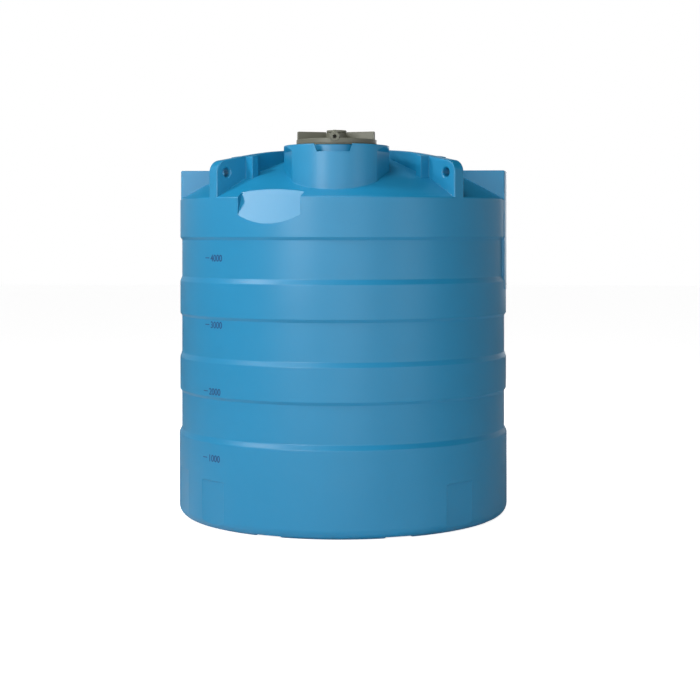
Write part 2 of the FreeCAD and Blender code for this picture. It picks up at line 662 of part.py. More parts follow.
def valve_parts():
    """Ball valve: casing, seats, ball, stem, seals, gland nut, lever, grip and nut."""
    body, cap, cap_seal = valve_casing()
    centre = Vec(VALVE_CENTRE, 0, 0)
    seats = []
    spigot_end = VALVE_CENTRE + CHAMBER_HALF - 12 + CAP_SEAL
    spans = [(VALVE_CENTRE - CHAMBER_HALF, VALVE_CENTRE - BALL_R * 0.72)]
    spans.append((VALVE_CENTRE + BALL_R * 0.72, spigot_end))
    hollow = Part.makeSphere(BALL_R + BALL_GAP, centre)
    for low, high in spans:
        seats.append(lying(tube(SEAT_R, SEAT_IN_R, low, high)).cut(hollow))
    ball = Part.makeSphere(BALL_R, centre)
    ball = ball.cut(Part.makeCylinder(SEAT_IN_R - 0.5, 3 * BALL_R, centre - Vec(0, 1.5 * BALL_R, 0), Vec(0, 1, 0)))
    tang = Part.makeBox(STEM_TANG, 2 * STEM_R, 12, centre + Vec(-STEM_TANG / 2, -STEM_R, STEM_FOOT))
    tang = tang.common(Part.makeCylinder(STEM_R, 12, centre + UP * STEM_FOOT))
    slot_half = STEM_TANG / 2 + 0.1
    slot = Part.makeBox(2 * slot_half, 60, 20, centre + Vec(-slot_half, -30, STEM_FOOT - 0.4))
    ball = ball.cut(slot)
    stem = Part.makeCylinder(STEM_R, STEM_TOP - 40, centre + UP * 40)
    flats = Part.makeBox(STEM_FLAT, 40, 40, centre + Vec(-STEM_FLAT / 2, -20, LEVER_Z - 3))
    head = Part.makeCylinder(STEM_R, 40, centre + UP * (LEVER_Z - 3)).common(flats)
    stem = stem.cut(Part.makeCylinder(STEM_R + 1, 40, centre + UP * (LEVER_Z - 3))).fuse(head)
    stem = stem.fuse(tang).removeSplitter()
    seals = []
    for height in seal_heights():
        ring = Part.makeTorus(STEM_R + 0.5, SEAL_CORD_R - GAP, centre + UP * height)
        ring = ring.cut(Part.makeCylinder(STEM_R + GAP / 2, 200, centre - UP * 100))
        seals.append(ring)
    gland = hexagon(GLAND_FLATS, TOWER_TOP, TOWER_TOP + GLAND)
    gland = gland.cut(Part.makeCylinder(STEM_R + GAP, 60, Vec(0, 0, 50)))
    gland.translate(centre)
    lever, grip = lever_parts()
    nut_low = LEVER_Z + LEVER_THICK
    nut = hexagon(LEVER_NUT_FLATS, nut_low, nut_low + LEVER_NUT)
    stud = Part.makeCylinder(STEM_R, 60, centre + UP * 60).common(flats)
    nut.translate(centre)
    nut = nut.cut(stud)
    shapes = {"valve_body": body, "valve_end_cap": cap, "valve_end_seal": cap_seal}
    shapes.update({"valve_seats": Part.makeCompound(seats), "valve_ball": ball, "valve_stem": stem})
    shapes.update({"stem_seals": Part.makeCompound(seals), "gland_nut": gland})
    shapes.update({"valve_lever": lever, "lever_grip": grip, "lever_nut": nut})
    return {name: on_outlet(shape) for name, shape in shapes.items()}


def lever_parts():
    """Flat lever across the pipe, as it stands when the valve is shut, and its sleeve grip."""
    half = LEVER_WIDTH / 2
    bar = Part.makeBox(LEVER_WIDTH, LEVER_LENGTH, LEVER_THICK, Vec(VALVE_CENTRE - half, 0, LEVER_Z))
    eye = Part.makeCylinder(half + 3, LEVER_THICK, Vec(VALVE_CENTRE, 0, LEVER_Z))
    flats = Part.makeBox(STEM_FLAT, 40, 40, Vec(VALVE_CENTRE - STEM_FLAT / 2, -20, LEVER_Z - 10))
    stud = Part.makeCylinder(STEM_R, 40, Vec(VALVE_CENTRE, 0, LEVER_Z - 10)).common(flats)
    lever = bar.fuse(eye).removeSplitter().cut(stud)
    wall = GRIP_WALL
    grip_from = LEVER_LENGTH - GRIP_LENGTH
    grip = Part.makeBox(LEVER_WIDTH + 2 * wall, GRIP_LENGTH + wall, LEVER_THICK + 2 * wall,
                        Vec(VALVE_CENTRE - half - wall, grip_from, LEVER_Z - wall))
    grip = grip.makeFillet(wall - 0.5, [edge for edge in grip.Edges if edge.BoundBox.YLength > 50])
    return lever, grip.cut(bar)


def save(name, shape):
    """Write one piece to parts/NAME.step."""
    shape.exportStep("parts/" + name + ".step")


os.makedirs("parts", exist_ok=True)
pieces = {"tank_shell": tank_shell(), "neck_ring": neck_ring(), "neck_ring_gasket": neck_ring_gasket()}
pieces.update({"neck_ring_screws": neck_ring_screws(), "screw_lid": screw_lid(), "lid_gasket": lid_gasket()})
pieces.update(vent_parts())
pieces.update(outlet_parts())
pieces.update(valve_parts())
for piece_name, piece_shape in pieces.items():
    save(piece_name, piece_shape)
    print(piece_name, len(piece_shape.Solids), piece_shape.isValid(), round(piece_shape.Volume / 1000))
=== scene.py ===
from math import atan2, ceil, cos, hypot, pi, radians, sin, sqrt, tan

import bmesh
import bpy
from mathutils import Matrix, Vector


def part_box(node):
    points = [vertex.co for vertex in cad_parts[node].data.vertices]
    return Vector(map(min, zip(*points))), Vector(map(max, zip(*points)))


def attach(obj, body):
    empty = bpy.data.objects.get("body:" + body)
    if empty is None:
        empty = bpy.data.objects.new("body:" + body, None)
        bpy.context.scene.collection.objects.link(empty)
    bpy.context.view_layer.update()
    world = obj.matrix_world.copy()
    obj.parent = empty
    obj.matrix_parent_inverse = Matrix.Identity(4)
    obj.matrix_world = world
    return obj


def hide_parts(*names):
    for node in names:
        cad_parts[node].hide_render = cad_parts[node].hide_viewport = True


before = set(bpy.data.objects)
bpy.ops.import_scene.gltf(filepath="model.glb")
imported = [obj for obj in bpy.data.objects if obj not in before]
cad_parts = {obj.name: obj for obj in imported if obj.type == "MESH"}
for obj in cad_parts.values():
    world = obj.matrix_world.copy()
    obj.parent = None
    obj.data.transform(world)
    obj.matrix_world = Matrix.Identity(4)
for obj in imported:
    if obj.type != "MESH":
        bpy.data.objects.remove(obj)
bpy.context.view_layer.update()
shell_low, shell_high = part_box("tank_shell")


# Tank shell
# One rotomoulded skin of blue polyethylene, 10 mm thick: a banded wall on a flat ribbed base, a domed
# roof crossed by two hollow lifting fins, a dormer on each side and a neck for the manway.

WALL = 0.010
BASE_R = shell_high.x
RIM_TOP = shell_high.z
BAND_R = BASE_R - 0.004
RECESS_R = BAND_R - 0.0106
BAND_EDGES = ((0.7270, 0.9380), (1.1625, 1.3740))
BASE_BAND_TOP = 0.5026
TOP_BAND_LOW = 1.5980
UPPER_SLOPE = 0.028
LOWER_SLOPE = 0.016
SHOULDER = 1.8140
EAVE = (0.750, 1.926)
PLATEAU = (0.313, 2.083)
EDGE_ROUND = 0.007

EYE = (0.880, 1.951)
EYE_R = 0.025
EYE_FLARE = 0.009
FIN_HALF = 0.036
FIN_REACH = BAND_R - 0.001
FIN_TOP = 2.092
FIN_CORNER = 0.069
STIFFENER = (0.710, 0.750)
STIFFENER_HALF = 0.096
STIFFENER_DROP = 0.003

DORMER_HALF = 0.185
DORMER_TOP = 1.980
LEFT_DORMER_R = 0.946
RIGHT_DORMER_R = 0.953
PILASTER_LOW = 1.300

PAD_FOOT = (0.950, 1.670)
PAD_HEAD = (0.878, 1.854)
PAD_HALF = 0.188
PAD_AZIMUTH = -21.6

GROOVE_HALF = 0.080
GROOVE_DEPTH = 0.011
GROOVE_START = 0.260
FLAT_PLANE = 0.948
FLAT_HALF = 0.095
FLAT_TOP = 0.270
SIDE_FLAT = (0.040, 0.293)

NECK = Vector((0.0, -0.594, 0.0))
COLLAR_R = 0.289
CHEEK_PLANE = 0.2735
CHEEK_AZIMUTH = 71.5
GUTTER_R = 0.256
INNER_NECK_R = 0.223
INNER_NECK_TOP = RIM_TOP - 0.001
GUTTER_FLOOR = RIM_TOP - 0.052
MANWAY_R = 0.200
NOTCH_FLOOR_HALF = 0.0875
NOTCH_TOP_HALF = 0.102
NOTCH_DEPTH = 0.042


def corner_line(corners, turn_step=12):
    """Points of an outline given as (a, b, rounding) corners, each rounding drawn as a true arc."""
    points = []
    for index, (a, b, rounding) in enumerate(corners):
        corner = Vector((a, b))
        if rounding <= 0:
            points.append(corner)
            continue
        back = (Vector(corners[index - 1][:2]) - corner).normalized()
        ahead = (Vector(corners[(index + 1) % len(corners)][:2]) - corner).normalized()
        opening = back.angle(ahead)
        bisector = (back + ahead).normalized()
        centre = corner + bisector * (rounding / sin(opening / 2))
        start = corner + back * (rounding / tan(opening / 2)) - centre
        turn = start.angle_signed(corner + ahead * (rounding / tan(opening / 2)) - centre)
        steps = max(2, ceil(abs(turn) / radians(turn_step)))
        for step in range(steps + 1):
            points.append(centre + Matrix.Rotation(-turn * step / steps, 2) @ start)
    return points


def new_piece(name, shape):
    """Object of a finished bmesh, with its faces turned outwards."""
    bmesh.ops.remove_doubles(shape, verts=shape.verts, dist=1e-6)
    bmesh.ops.recalc_face_normals(shape, faces=shape.faces)
    mesh = bpy.data.meshes.new(name)
    shape.to_mesh(mesh)
    shape.free()
    piece = bpy.data.objects.new(name, mesh)
    bpy.context.scene.collection.objects.link(piece)
    return piece


def turned(name, corners, steps=192, centre=(0, 0, 0), turn_step=12):
    """Solid turned about an upright axis from an outline of (r, z, rounding) corners."""
    shape = bmesh.new()
    line = corner_line(corners, turn_step)
    rings = []
    for point in line:
        if point.x < 1e-6:
            rings.append([shape.verts.new((0, 0, point.y))] * steps)
            continue
        angles = (2 * pi * step / steps for step in range(steps))
        rings.append([shape.verts.new((point.x * cos(a), point.x * sin(a), point.y)) for a in angles])
    closed = line[0].x > 1e-6
    for index in range(len(rings) if closed else len(rings) - 1):
        lower, upper = rings[index], rings[(index + 1) % len(rings)]
        for step in range(steps):
            loop = [lower[step], lower[(step + 1) % steps], upper[(step + 1) % steps], upper[step]]
            distinct = list(dict.fromkeys(loop))
            if len(distinct) > 2:
                shape.faces.new(distinct)
    bmesh.ops.translate(shape, verts=shape.verts, vec=Vector(centre))
    return new_piece(name, shape)


def prism(name, outline, low, high, along="z", rounding=0.0, rounded=None):
    """Outline extruded from low to high along z (a plan) or along y (a side view)."""
    shape = bmesh.new()
    rings = []
    for level in (low, high):
        if along == "z":
            rings.append([shape.verts.new((a, b, level)) for a, b in outline])
        else:
            rings.append([shape.verts.new((a, level, b)) for a, b in outline])
    count = len(outline)
    shape.faces.new(rings[0])
    shape.faces.new(rings[1])
    for index in range(count):
        after = (index + 1) % count
        shape.faces.new((rings[0][index], rings[0][after], rings[1][after], rings[1][index]))
    if rounding > 0:
        bmesh.ops.recalc_face_normals(shape, faces=shape.faces)
        edges = [edge for edge in shape.edges if rounded(edge)]
        bmesh.ops.bevel(shape, geom=edges, offset=rounding, segments=3, profile=0.5,
                        affect="EDGES", clamp_overlap=True)
    return new_piece(name, shape)


def box(name, low, high):
    """Plain block between two corners, used only to cut with."""
    outline = [(low[0], low[1]), (high[0], low[1]), (high[0], high[1]), (low[0], high[1])]
    return prism(name, outline, low[2], high[2])


def moved(piece, azimuth=None, shift=(0, 0, 0)):
    """Turn a piece that points along +X to an azimuth (0 is the front, -Y), then shift it."""
    if azimuth is not None:
        piece.data.transform(Matrix.Rotation(radians(azimuth - 90), 4, "Z"))
    piece.data.transform(Matrix.Translation(Vector(shift)))
    return piece


def baked(piece):
    """Apply a piece's modifiers to its mesh."""
    graph = bpy.context.evaluated_depsgraph_get()
    mesh = bpy.data.meshes.new_from_object(piece.evaluated_get(graph))
    piece.modifiers.clear()
    piece.data = mesh
    return piece


def combined(base, others, operation):
    """Union with the others, or difference from them; the others are used up."""
    for other in others:
        step = base.modifiers.new(other.name, "BOOLEAN")
        step.operation = operation
        step.solver = "MANIFOLD"
        step.object = other
    baked(base)
    for other in others:
        bpy.data.objects.remove(other)
    return base


def ring_of_copies():
    """Geometry Nodes tree that sets copies of a piece evenly round an upright axis."""
    tree = bpy.data.node_groups.new("ring_of_copies", "GeometryNodeTree")
    face = tree.interface
    face.new_socket("Piece", in_out="INPUT", socket_type="NodeSocketGeometry")
    face.new_socket("Count", in_out="INPUT", socket_type="NodeSocketInt")
    face.new_socket("First Turn", in_out="INPUT", socket_type="NodeSocketFloat")
    face.new_socket("Centre", in_out="INPUT", socket_type="NodeSocketVector")
    face.new_socket("Material", in_out="INPUT", socket_type="NodeSocketMaterial")
    face.new_socket("Ring", in_out="OUTPUT", socket_type="NodeSocketGeometry")
    nodes, link = tree.nodes, tree.links.new
    given = nodes.new("NodeGroupInput")
    result = nodes.new("NodeGroupOutput")
    points = nodes.new("GeometryNodePoints")
    index = nodes.new("GeometryNodeInputIndex")
    share = nodes.new("ShaderNodeMath")
    share.operation = "DIVIDE"
    whole = nodes.new("ShaderNodeMath")
    whole.operation = "MULTIPLY_ADD"
    whole.inputs[1].default_value = 2 * pi
    turn = nodes.new("ShaderNodeCombineXYZ")
    copies = nodes.new("GeometryNodeInstanceOnPoints")
    real = nodes.new("GeometryNodeRealizeInstances")
    finish = nodes.new("GeometryNodeSetMaterial")
    link(given.outputs["Count"], points.inputs["Count"])
    link(given.outputs["Centre"], points.inputs["Position"])
    link(index.outputs[0], share.inputs[0])
    link(given.outputs["Count"], share.inputs[1])
    link(share.outputs[0], whole.inputs[0])
    link(given.outputs["First Turn"], whole.inputs[2])
    link(whole.outputs[0], turn.inputs["Z"])
    link(points.outputs[0], copies.inputs["Points"])
    link(given.outputs["Piece"], copies.inputs["Instance"])
    link(turn.outputs[0], copies.inputs["Rotation"])
    link(copies.outputs[0], real.inputs[0])
    link(real.outputs[0], finish.inputs["Geometry"])
    link(given.outputs["Material"], finish.inputs["Material"])
    link(finish.outputs[0], result.inputs[0])
    return tree


RING_TREE = ring_of_copies()


def ringed(piece, count, first_azimuth=90.0, centre=(0, 0, 0), material=None):
    """Repeat a piece that points along +X evenly round an upright axis and bake the ring."""
    ring = piece.modifiers.new("ring", "NODES")
    ring.node_group = RING_TREE
    values = {"Count": count, "First Turn": radians(first_azimuth - 90), "Centre": centre}
    values["Material"] = material
    for item in RING_TREE.interface.items_tree:
        if item.in_out == "INPUT" and item.name in values:
            ring[item.identifier] = values[item.name]
    return baked(piece)


def barrel(skin, steps):
    """Banded wall and domed roof, drawn in by skin."""
    soft = 0.018
    line = [(0, skin, 0), (BASE_R - skin, skin, 0.060 - skin)]
    line += [(BASE_R - skin, BASE_BAND_TOP - UPPER_SLOPE, soft), (RECESS_R - skin, BASE_BAND_TOP, soft)]
    for low, top in BAND_EDGES:
        line += [(RECESS_R - skin, low - LOWER_SLOPE, 0.004), (BAND_R - skin, low, 0.006)]
        line += [(BAND_R - skin, top - UPPER_SLOPE, soft), (RECESS_R - skin, top, soft)]
    line += [(RECESS_R - skin, TOP_BAND_LOW - LOWER_SLOPE, 0.004), (BAND_R - skin, TOP_BAND_LOW, 0.006)]
    line += [(BAND_R - skin, SHOULDER - skin, 0.012), (EAVE[0], EAVE[1] - 1.1 * skin, 0.600)]
    line += [(PLATEAU[0], PLATEAU[1] - skin, 0.300), (0, PLATEAU[1] - skin, 0)]
    return turned("tank", line, steps, turn_step=12 if skin == 0 else 24)


def fin_outline(skin, top_drop=0.0):
    """Side view of a lifting fin that runs right across the roof."""
    reach = FIN_REACH - skin
    radius = FIN_CORNER - skin
    top = FIN_TOP - skin - top_drop
    low = SHOULDER - 0.060
    half = [(reach, low)]
    for step in range(9):
        angle = radians(76) * step / 8
        half.append((EYE[0] + radius * cos(angle), EYE[1] + radius * sin(angle) - top_drop))
    end_s, end_z = half[-1]
    flat_s = 0.320
    for step in range(1, 11):
        share = step / 10
        rise = sin(share * pi / 2) ** 1.06
        half.append((end_s + (flat_s - end_s) * share, end_z + (top - end_z) * rise))
    return half + [(-s, z) for s, z in reversed(half)]


def fin(skin, azimuth):
    """Hollow lifting fin with an eye near each end and a stiffener across it at four places."""
    half = FIN_HALF - skin
    outline = fin_outline(skin)

    def outer(edge):
        flat = abs(edge.verts[0].co.y - edge.verts[1].co.y) < 1e-6
        return flat and max(vert.co.z for vert in edge.verts) > SHOULDER
    body = prism("fin", outline, -half, half, "y", EDGE_ROUND if skin == 0 else 0, outer)
    crosses = []
    wide = STIFFENER_HALF - skin
    for side in (-1, 1):
        ends = sorted((side * (STIFFENER[0] + skin), side * (STIFFENER[1] - skin)))
        ledge = prism("stiffener", fin_outline(skin, STIFFENER_DROP), -wide, wide, "y")
        keep = box("keep", (ends[0], -1, 1), (ends[1], 1, 3))
        crosses.append(combined(ledge, [keep], "INTERSECT"))
    body = combined(body, crosses, "UNION")
    eyes = []
    flare = EYE_FLARE if skin == 0 else 0.0
    for side in (-1, 1):
        cutter = turned("eye", rounded_bore(EYE_R + skin, half, flare), 48)
        cutter.data.transform(Matrix.Rotation(radians(90), 4, "X"))
        eyes.append(moved(cutter, shift=(side * EYE[0], 0, EYE[1])))
    body = combined(body, eyes, "DIFFERENCE")
    return moved(body, azimuth)


def rounded_bore(radius, half, flare):
    """Outline of a cutter that leaves a round hole with rounded rims at both mouths."""
    lower = [(0, -half - 0.02), (radius + flare, -half - 0.02)]
    for step in range(7 if flare else 0):
        angle = radians(90) * step / 6
        lower.append((radius + flare * (1 - sin(angle)), -half + flare * (1 - cos(angle))))
    line = lower + [(a, -b) for a, b in reversed(lower)]
    return [(a, b, 0) for a, b in line]


def round_faced(back, reach, half):
    """Plan of a block whose outer face is round like the wall."""
    bend = atan2(half, sqrt(reach ** 2 - half ** 2))
    turns = (bend * (step / 6 - 1) for step in range(13))
    return [(back, -half)] + [(reach * cos(a), reach * sin(a)) for a in turns] + [(back, half)]


def dormer(skin, radius, azimuth):
    """Flat-topped box on the edge of the roof, its outer face round like the wall."""
    half, top, back = DORMER_HALF - skin, DORMER_TOP - skin, 0.560

    def outer(edge):
        first, second = edge.verts[0].co, edge.verts[1].co
        upright = abs(first.z - second.z) > 0.01
        on_corner = upright and abs(abs(first.y) - half) < 1e-4 and first.x > 0.7
        on_top = not upright and first.z > top - 1e-4 and max(first.x, second.x) > back + 0.01
        return on_corner or on_top
    plan = round_faced(back, radius - skin, half)
    piece = prism("dormer", plan, SHOULDER - 0.024, top, "z", EDGE_ROUND if skin == 0 else 0, outer)
    return moved(piece, azimuth)


def pilaster(skin):
    """Raised strip that carries the right dormer's face down to the middle band."""
    plan = round_faced(0.860, RIGHT_DORMER_R - skin, DORMER_HALF - skin)
    return moved(prism("pilaster", plan, PILASTER_LOW + skin, SHOULDER + 0.036, "z"), 90)


def collar(skin, top):
    """Round collar of the neck, with a flat cheek on each side that fades out below the rim."""
    reach = COLLAR_R - skin
    line = [(0, 1.80, 0), (reach, 1.80, 0), (reach, top, 0.0045 if skin == 0 else 0), (0, top, 0)]
    body = turned("collar", line, 144)
    plane = CHEEK_PLANE - skin
    cheek = [(plane, 1.79), (plane, 2.060), (reach, 2.088), (0.330, 2.088), (0.330, 1.79)]
    cutters = [moved(prism("cheek", cheek, -0.12, 0.12, "y"), side * CHEEK_AZIMUTH) for side in (-1, 1)]
    return moved(combined(body, cutters, "DIFFERENCE"), shift=NECK)


def shoulder_pad(skin):
    """Wedge that leaves the sloping flat for a pipe in the front left of the shoulder."""
    lean = (PAD_FOOT[0] - PAD_HEAD[0]) / (PAD_HEAD[1] - PAD_FOOT[1])
    shift = skin * hypot(1, lean)
    low = (PAD_FOOT[0] + 0.04 * lean - shift, PAD_FOOT[1] - 0.04)
    high = (PAD_HEAD[0] - 0.06 * lean - shift, PAD_HEAD[1] + 0.06)
    outline = [low, (1.1, low[1]), (1.1, high[1]), high]
    half = PAD_HALF + skin
    return moved(prism("pad", outline, -half, half, "y"), PAD_AZIMUTH)


def base_reliefs(skin):
    """Eight grooves under the floor and the fitting flats low on the wall."""
    depth = GROOVE_DEPTH + skin
    start = GROOVE_START - skin
    half = GROOVE_HALF + skin
    groove = [(start, -0.005), (1.0, -0.005), (1.0, depth), (start + 0.012, depth)]
    grooves = ringed(prism("grooves", groove, -half, half, "y"), 8, 112.5)
    plane = FLAT_PLANE - skin
    flats = ringed(box("flats", (plane, -FLAT_HALF, -0.001), (1.0, FLAT_HALF, FLAT_TOP + skin)), 4, 135)
    side = box("side_flat", (plane, -FLAT_HALF, SIDE_FLAT[0]), (1.0, FLAT_HALF, SIDE_FLAT[1] + skin))
    return [grooves, flats, moved(side, -67.5)]


def tank_body(skin, steps):
    """The tank's closed form, drawn in by skin on every side."""
    body = barrel(skin, steps)
    added = [fin(skin, 45), fin(skin, 135)]
    added += [dormer(skin, LEFT_DORMER_R, -90), dormer(skin, RIGHT_DORMER_R, 90)]
    added += [pilaster(skin), collar(skin, RIM_TOP if skin == 0 else GUTTER_FLOOR - skin)]
    body = combined(body, added, "UNION")
    return combined(body, [shoulder_pad(skin)] + base_reliefs(skin), "DIFFERENCE")


def neck_reliefs():
    """Gutter round the inner neck, manway bore and the drain notch in the collar."""
    top = RIM_TOP + 0.030
    gutter = [(0, INNER_NECK_TOP, 0), (INNER_NECK_R, INNER_NECK_TOP, 0.003)]
    gutter += [(INNER_NECK_R, GUTTER_FLOOR, 0.006), (GUTTER_R, GUTTER_FLOOR, 0.006)]
    gutter += [(GUTTER_R, top, 0), (0, top, 0)]
    cutters = [turned("gutter", gutter, 144, NECK)]
    bore = [(0, 1.96, 0), (MANWAY_R, 1.96, 0), (MANWAY_R, top, 0), (0, top, 0)]
    cutters.append(turned("bore", bore, 128, NECK))
    over = NOTCH_TOP_HALF + (NOTCH_TOP_HALF - NOTCH_FLOOR_HALF) / NOTCH_DEPTH * 0.02
    outline = [(-NOTCH_FLOOR_HALF, RIM_TOP - NOTCH_DEPTH), (NOTCH_FLOOR_HALF, RIM_TOP - NOTCH_DEPTH)]
    outline += [(over, RIM_TOP + 0.02), (-over, RIM_TOP + 0.02)]
    inner = NECK.y - INNER_NECK_R - 0.004
    cutters.append(prism("notch", outline, inner - 0.090, inner, "y"))
    return cutters


def dressed(piece, material):
    """Give the whole of a piece one material."""
    piece.data.materials.clear()
    piece.data.materials.append(material)
    piece.data.polygons.foreach_set("material_index", [0] * len(piece.data.polygons))
    return piece


def smoothed(piece, angle=32.0):
    """Shade a piece smooth but for edges sharper than angle, weighting normals by face size."""
    piece.data.shade_smooth()
    piece.data.set_sharp_from_angle(angle=radians(angle))
    weighted = piece.modifiers.new("weighted", "WEIGHTED_NORMAL")
    weighted.keep_sharp = True
    return baked(piece)


def add_node(tree, kind, inputs=None, **settings):
    """Add a shader node; an input takes a socket to be linked or a plain value."""
    made = tree.nodes.new(kind)
    for name, value in settings.items():
        setattr(made, name, value)
    for key, value in (inputs or {}).items():
        if isinstance(value, bpy.types.NodeSocket):
            tree.links.new(value, made.inputs[key])
        else:
            made.inputs[key].default_value = value
    return made


def shader_group(name, inputs, outputs):
    """Empty shader node group with named inputs and outputs."""
    tree = bpy.data.node_groups.new(name, "ShaderNodeTree")
    for label, kind, value in inputs:
        socket = tree.interface.new_socket(label, in_out="INPUT", socket_type="NodeSocket" + kind)
        if value is not None:
            socket.default_value = value
    for label, kind in outputs:
        tree.interface.new_socket(label, in_out="OUTPUT", socket_type="NodeSocket" + kind)
    return tree, tree.nodes.new("NodeGroupInput").outputs, tree.nodes.new("NodeGroupOutput").inputs


def grain_group():
    """Fine pebbled skin that a rotating mould leaves, over a slow unevenness of the wall."""
    inputs = [("Normal", "Vector", None), ("Pebble Size", "Float", 0.004), ("Pebble Depth", "Float", 0.0001)]
    inputs += [("Wave Size", "Float", 0.35), ("Wave Depth", "Float", 0.002)]
    tree, given, result = shader_group("mould_grain", inputs, [("Normal", "Vector")])
    place = add_node(tree, "ShaderNodeTexCoord").outputs["Object"]
    normal = given["Normal"]
    for size, depth, detail in (("Wave Size", "Wave Depth", 1.0), ("Pebble Size", "Pebble Depth", 2.0)):
        scale = add_node(tree, "ShaderNodeMath", {0: 1.0, 1: given[size]}, operation="DIVIDE")
        noise = add_node(tree, "ShaderNodeTexNoise", {"Vector": place, "Scale": scale.outputs[0]})
        noise.inputs["Detail"].default_value = detail
        bump = add_node(tree, "ShaderNodeBump", {"Distance": given[depth], "Height": noise.outputs[0]})
        bump.inputs["Strength"].default_value = 1.0
        tree.links.new(normal, bump.inputs["Normal"])
        normal = bump.outputs[0]
    tree.links.new(normal, result["Normal"])
    return tree


def tone_group():
    """Slow drift of a colour's brightness, as in pigment that melts unevenly."""
    inputs = [("Colour", "Color", None), ("Patch Size", "Float", 0.4), ("Amount", "Float", 0.08)]
    tree, given, result = shader_group("tone_drift", inputs, [("Colour", "Color")])
    place = add_node(tree, "ShaderNodeTexCoord").outputs["Object"]
    scale = add_node(tree, "ShaderNodeMath", {0: 1.0, 1: given["Patch Size"]}, operation="DIVIDE")
    noise = add_node(tree, "ShaderNodeTexNoise", {"Vector": place, "Scale": scale.outputs[0]})
    noise.inputs["Detail"].default_value = 4.0
    centred = add_node(tree, "ShaderNodeMath", {0: noise.outputs[0], 1: 0.5}, operation="SUBTRACT")
    swing = add_node(tree, "ShaderNodeMath", {0: centred.outputs[0], 1: given["Amount"], 2: 1.0},
                     operation="MULTIPLY_ADD")
    shade = add_node(tree, "ShaderNodeVectorMath", {0: given["Colour"]}, operation="SCALE")
    tree.links.new(swing.outputs[0], shade.inputs["Scale"])
    tree.links.new(shade.outputs[0], result["Colour"])
    return tree


def dust_group():
    """Thin dust that settles on what faces up, patchy and a little rougher than the plastic."""
    inputs = [("Colour", "Color", None), ("Roughness", "Float", 0.45)]
    inputs += [("Dust", "Color", (0.35, 0.33, 0.3, 1)), ("Amount", "Float", 0.15)]
    inputs += [("Patch Size", "Float", 0.12)]
    outputs = [("Colour", "Color"), ("Roughness", "Float")]
    tree, given, result = shader_group("settled_dust", inputs, outputs)
    up = add_node(tree, "ShaderNodeSeparateXYZ",
                  {0: add_node(tree, "ShaderNodeNewGeometry").outputs["Normal"]}).outputs["Z"]
    facing = add_node(tree, "ShaderNodeMapRange", {0: up, 1: 0.55, 2: 1.0},
                      interpolation_type="SMOOTHSTEP")
    place = add_node(tree, "ShaderNodeTexCoord").outputs["Object"]
    scale = add_node(tree, "ShaderNodeMath", {0: 1.0, 1: given["Patch Size"]}, operation="DIVIDE")
    noise = add_node(tree, "ShaderNodeTexNoise", {"Vector": place, "Scale": scale.outputs[0]})
    noise.inputs["Detail"].default_value = 5.0
    patch = add_node(tree, "ShaderNodeMapRange", {0: noise.outputs[0], 1: 0.3, 2: 0.75})
    settled = add_node(tree, "ShaderNodeMath", {0: facing.outputs[0], 1: patch.outputs[0]},
                       operation="MULTIPLY")
    mask = add_node(tree, "ShaderNodeMath", {0: settled.outputs[0], 1: given["Amount"]},
                    operation="MULTIPLY")
    tinted = add_node(tree, "ShaderNodeMix", {0: mask.outputs[0]}, data_type="RGBA")
    tree.links.new(given["Colour"], tinted.inputs["A"])
    tree.links.new(given["Dust"], tinted.inputs["B"])
    rough = add_node(tree, "ShaderNodeMix", {0: mask.outputs[0], 2: given["Roughness"], 3: 0.9})
    tree.links.new(tinted.outputs["Result"], result["Colour"])
    tree.links.new(rough.outputs[0], result["Roughness"])
    return tree


def rub_group():
    """Edges rubbed paler, found where a softened normal leaves the true one."""
    inputs = [("Colour", "Color", None), ("Soft Normal", "Vector", None)]
    inputs += [("Rubbed", "Color", (0.5, 0.5, 0.5, 1)), ("Amount", "Float", 0.3)]
    tree, given, result = shader_group("rubbed_edges", inputs, [("Colour", "Color"), ("Mask", "Float")])
    true = add_node(tree, "ShaderNodeNewGeometry").outputs["Normal"]
    match = add_node(tree, "ShaderNodeVectorMath", {0: given["Soft Normal"], 1: true},
                     operation="DOT_PRODUCT")
    edge = add_node(tree, "ShaderNodeMapRange", {0: match.outputs["Value"], 1: 1.0, 2: 0.86})
    mask = add_node(tree, "ShaderNodeMath", {0: edge.outputs[0], 1: given["Amount"]}, operation="MULTIPLY")
    tinted = add_node(tree, "ShaderNodeMix", {0: mask.outputs[0]}, data_type="RGBA")
    tree.links.new(given["Colour"], tinted.inputs["A"])
    tree.links.new(given["Rubbed"], tinted.inputs["B"])
    tree.links.new(tinted.outputs["Result"], result["Colour"])
    tree.links.new(mask.outputs[0], result["Mask"])
    return tree


GRAIN, TONE, DUST, RUB = grain_group(), tone_group(), dust_group(), rub_group()


def place_group(tree, group, inputs):
    """Place a shared effect in a material with its own values."""
    made = tree.nodes.new("ShaderNodeGroup")
    made.node_tree = group
    for key, value in inputs.items():
        if isinstance(value, bpy.types.NodeSocket):
            tree.links.new(value, made.inputs[key])
        else:
            made.inputs[key].default_value = value
    return made.outputs


